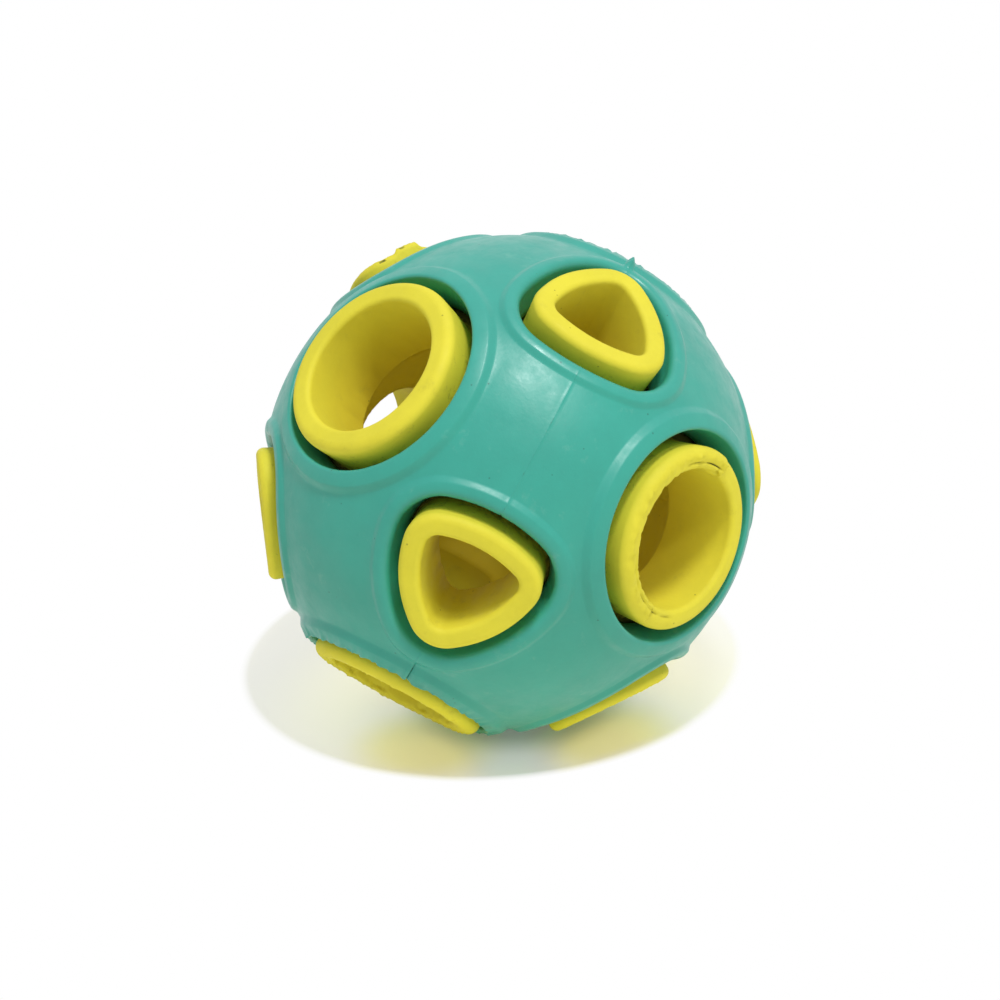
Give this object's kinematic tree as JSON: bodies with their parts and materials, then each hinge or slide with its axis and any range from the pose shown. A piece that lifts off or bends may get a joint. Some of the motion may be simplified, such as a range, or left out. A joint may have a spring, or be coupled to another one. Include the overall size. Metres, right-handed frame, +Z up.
{
  "type": "dog chew ball",
  "caption": "Two-colour hollow rubber chew ball: a soft lipped shell with round and three-cornered windows over a loose inner ball whose open collars let treats in and out.",
  "frame": {"origin": "on the surface that the ball rests on, under the middle of the ball", "axes": "+Z up; +X through the round opening at the right; -Y towards the front, where one round opening faces up and forward"},
  "size_m": [0.0726, 0.0744, 0.074],
  "materials": {
    "shell_rubber": "satin moulded rubber, blue-green",
    "inner_rubber": "matt moulded rubber, yellow"
  },
  "bodies": {
    "shell": {"shell_half_right": "shell_rubber", "shell_half_left": "shell_rubber"},
    "inner_ball": {"inner_ball_half_front": "inner_rubber", "inner_ball_half_back": "inner_rubber"}
  },
  "joints": [
    {"name": "inner_ball_turn", "type": "hinge", "parent": "shell", "child": "inner_ball", "pos_m": [0, 0, 0.03684], "axis": [1, 0, 0], "range_deg": [-1, 1]}
  ]
}
